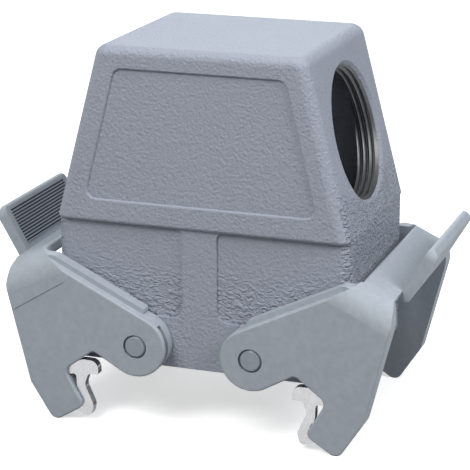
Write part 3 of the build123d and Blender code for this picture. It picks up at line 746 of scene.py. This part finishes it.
for side in ("right_front", "right_back", "left_front", "left_back"):
    dress(nodes["pivot_pin_" + side], pin_look)


# Locking levers
# U-shaped die-cast levers with rounded shoulders and a ribbed grip, in a satin coat that
# is smoother than the hood's and a shade lighter. Painted shade darkens the colour of the
# grips: near black down in their grooves, and faintly over their whole ribbed fields.
LIP = Vector((52.9, RIM + 33.9))
GRIP_DOWN = (Vector((46.7, RIM + 22.8)) - LIP).normalized()
GROOVE_DEPTHS = (0.02, 0.2)  # where the painted shade starts and where it is full, here and below
FIELD_STARTS, FIELD_ENDS = (1.9, 2.0), (11.3, 11.1)
FIELD_SIDES = (15.6, 15.4)
GRIP_DEPTHS = (1.2, 1.0)
# Shares of the painted shade: near full in the grooves, faint over the whole ribbed field
GROOVE_PAINTED_SHADE, FIELD_PAINTED_SHADE = 0.96, 0.12

lever_look = coated("lever_satin_coat", (0.408, 0.447, 0.492), peel_size=1.5, peel_depth=0.5,
                    grain_depth=0.15, roughness=0.46, bump_mm=0.09)
tree = lever_look.node_tree
surface = tree.nodes["Principled BSDF"]
parts = tree.nodes.new("ShaderNodeSeparateXYZ")
tree.links.new(tree.nodes["Texture Coordinate"].outputs["Object"], parts.inputs["Vector"])
across = do_math(tree, "SUBTRACT", do_math(tree, "ABSOLUTE", parts.outputs["X"]), LIP.x * MM)
upward = do_math(tree, "SUBTRACT", parts.outputs["Z"], LIP.y * MM)
run = do_math(tree, "ADD", do_math(tree, "MULTIPLY", across, GRIP_DOWN.x),
              do_math(tree, "MULTIPLY", upward, GRIP_DOWN.y))
sunk = do_math(tree, "SUBTRACT", do_math(tree, "MULTIPLY", upward, GRIP_DOWN.x),
               do_math(tree, "MULTIPLY", across, GRIP_DOWN.y))
aside = do_math(tree, "ABSOLUTE", parts.outputs["Y"])
# Painted shade: the grip is darkened towards near black in its grooves and faintly over its ribbed
# field
in_groove = do_math(
    tree, "MAXIMUM",
    do_math(tree, "MULTIPLY", fade(tree, sunk, *GROOVE_DEPTHS), GROOVE_PAINTED_SHADE), FIELD_PAINTED_SHADE)
in_field = do_math(tree, "MULTIPLY", fade(tree, run, *FIELD_STARTS), fade(tree, aside, *FIELD_SIDES))
near_face = do_math(tree, "MULTIPLY", fade(tree, sunk, *GRIP_DEPTHS), fade(tree, run, *FIELD_ENDS))
painted_shade = do_math(tree, "MULTIPLY", do_math(tree, "MULTIPLY", in_groove, in_field), near_face)
# Near black, the colour of the painted shade
shade = add_node(tree, "ShaderNodeMix", {"data_type": "RGBA"})
shade.inputs["B"].default_value = (0.012, 0.013, 0.015, 1.0)
tree.links.new(painted_shade, shade.inputs["Factor"])
tree.links.new(surface.inputs["Base Color"].links[0].from_socket, shade.inputs["A"])
tree.links.new(shade.outputs["Result"], surface.inputs["Base Color"])
for side in ("right", "left"):
    dress(nodes[side + "_lever_frame"], lever_look)

# Parting lines left by the die on the left lever, where its cheeks turn over into the web.
# The thin ridges are real; their darker colour is painted shade, the shadow line along them.
SEAM_RADIUS = 0.10
# Painted shade: a darker coat colour on the seam ridges
seam_shade_look = coated("lever_seam_painted_shade", (0.21, 0.23, 0.26), peel_size=1.5, peel_depth=0.5,
                   grain_depth=0.15, roughness=0.5, bump_mm=0.09)
low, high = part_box("left_lever_frame")
for end, wall in (("front", low[1]), ("back", high[1])):
    seam = bar("seam_left_" + end, SEAM_RADIUS, (-45.1, wall / MM, RIM + 11.7),
               (-31.9, wall / MM, RIM + 19.9), sides=8)
    seam.data.materials.append(seam_shade_look)
    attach(seam, "left_lever")


# Hook plates
# Stamped stainless plates in the claws that hook under the pegs of the mating housing.
# The rolled sheet keeps a fine grain along the hook, with small scuffs.
SCUFF_SIZE = 2.5
metal_group, given, made = open_group(
    "worked_metal",
    (("Vector", "v", None), ("Colour", "c", (0.6, 0.6, 0.6, 1)), ("Stretch", "v", (1, 1, 1)),
     ("Line Size", "f", 0.3), ("Contrast", "f", 0.2), ("Roughness", "f", 0.3)),
    (("Colour", "c"), ("Roughness", "f"), ("Height", "f")))
drawn = add_node(metal_group, "ShaderNodeVectorMath", {"operation": "MULTIPLY"})
metal_group.links.new(given.outputs["Vector"], drawn.inputs[0])
metal_group.links.new(given.outputs["Stretch"], drawn.inputs[1])
lines = add_node(metal_group, "ShaderNodeTexNoise",
                 inputs={"Scale": 1.0, "Detail": 3.0, "Roughness": 0.6})
metal_group.links.new(sized(metal_group, drawn.outputs["Vector"], given.outputs["Line Size"]),
                      lines.inputs["Vector"])
scuffs = add_node(metal_group, "ShaderNodeTexNoise",
                  inputs={"Scale": 1.0, "Detail": 6.0, "Distortion": 0.8})
metal_group.links.new(sized(metal_group, given.outputs["Vector"], SCUFF_SIZE), scuffs.inputs["Vector"])
worn = do_math(metal_group, "ADD", lines.outputs["Fac"], scuffs.outputs["Fac"])
mixed = do_math(metal_group, "MULTIPLY", do_math(metal_group, "SUBTRACT", worn, 1.0),
                given.outputs["Contrast"])
tint = add_node(metal_group, "ShaderNodeHueSaturation")
metal_group.links.new(given.outputs["Colour"], tint.inputs["Color"])
metal_group.links.new(do_math(metal_group, "ADD", mixed, 1.0), tint.inputs["Value"])
metal_group.links.new(tint.outputs["Color"], made.inputs["Colour"])
metal_group.links.new(do_math(metal_group, "ADD", do_math(metal_group, "MULTIPLY", mixed, 0.6),
                              given.outputs["Roughness"]), made.inputs["Roughness"])
metal_group.links.new(lines.outputs["Fac"], made.inputs["Height"])
plate_look = grouped("stainless_hook_plate", metal_group, {
    "Colour": (0.60, 0.59, 0.595, 1), "Stretch": (1.0, 1.0, 0.12), "Line Size": 0.18,
    "Contrast": 0.35, "Roughness": 0.27}, 0.015, 1.0)
for side in ("right_front", "right_back", "left_front", "left_back"):
    dress(nodes["lock_plate_" + side], plate_look)


# Contact insert
# Two glass-filled mouldings, the socket block below and the terminal block above, in the
# light warm grey of such inserts with faint flow marks and a pebbled skin.
insert_look = grouped("glass_filled_plastic", mould_group, {
    "Colour": (0.56, 0.55, 0.51, 1), "Pebble Size": 0.3, "Flow Size": 7.0, "Contrast": 0.22,
    "Roughness": 0.46}, 0.03)
for name in ("insert_socket_block", "insert_terminal_block"):
    dress(nodes[name], insert_look)


# Contacts
# Ten turned copper alloy sockets with square terminals, silver plated and a little
# tarnished, each with a clamping screw that has a bright cut slot.
contact_look = grouped("silver_plated_contact", metal_group, {
    "Colour": (0.78, 0.75, 0.69, 1), "Stretch": (1.0, 1.0, 5.0), "Line Size": 0.4,
    "Contrast": 0.4, "Roughness": 0.25}, 0.01, 1.0)
for index in range(10):
    dress(nodes["contact_%02d" % (index + 1)], contact_look)
screw_look = grouped("zinc_plated_screw", metal_group, {
    "Colour": (0.62, 0.66, 0.70, 1), "Stretch": (1.0, 1.0, 1.0), "Line Size": 0.25,
    "Contrast": 0.5, "Roughness": 0.32}, 0.01, 1.0)
dress(nodes["terminal_screws"], screw_look)


# Earth brackets and their screws
# Pressed steel angles at the ends of the insert, with four captive screws up into the
# hood and an earth screw on each. Zinc plated, with drawn lines along the fold.
bracket_look = grouped("plated_bracket", metal_group, {
    "Colour": (0.66, 0.65, 0.60, 1), "Stretch": (1.0, 0.15, 1.0), "Line Size": 0.3,
    "Contrast": 0.45, "Roughness": 0.36}, 0.012, 1.0)
for side in ("right", "left"):
    dress(nodes["earth_bracket_" + side], bracket_look)
dress(nodes["insert_screws"], screw_look)
dress(nodes["earth_screws"], screw_look)
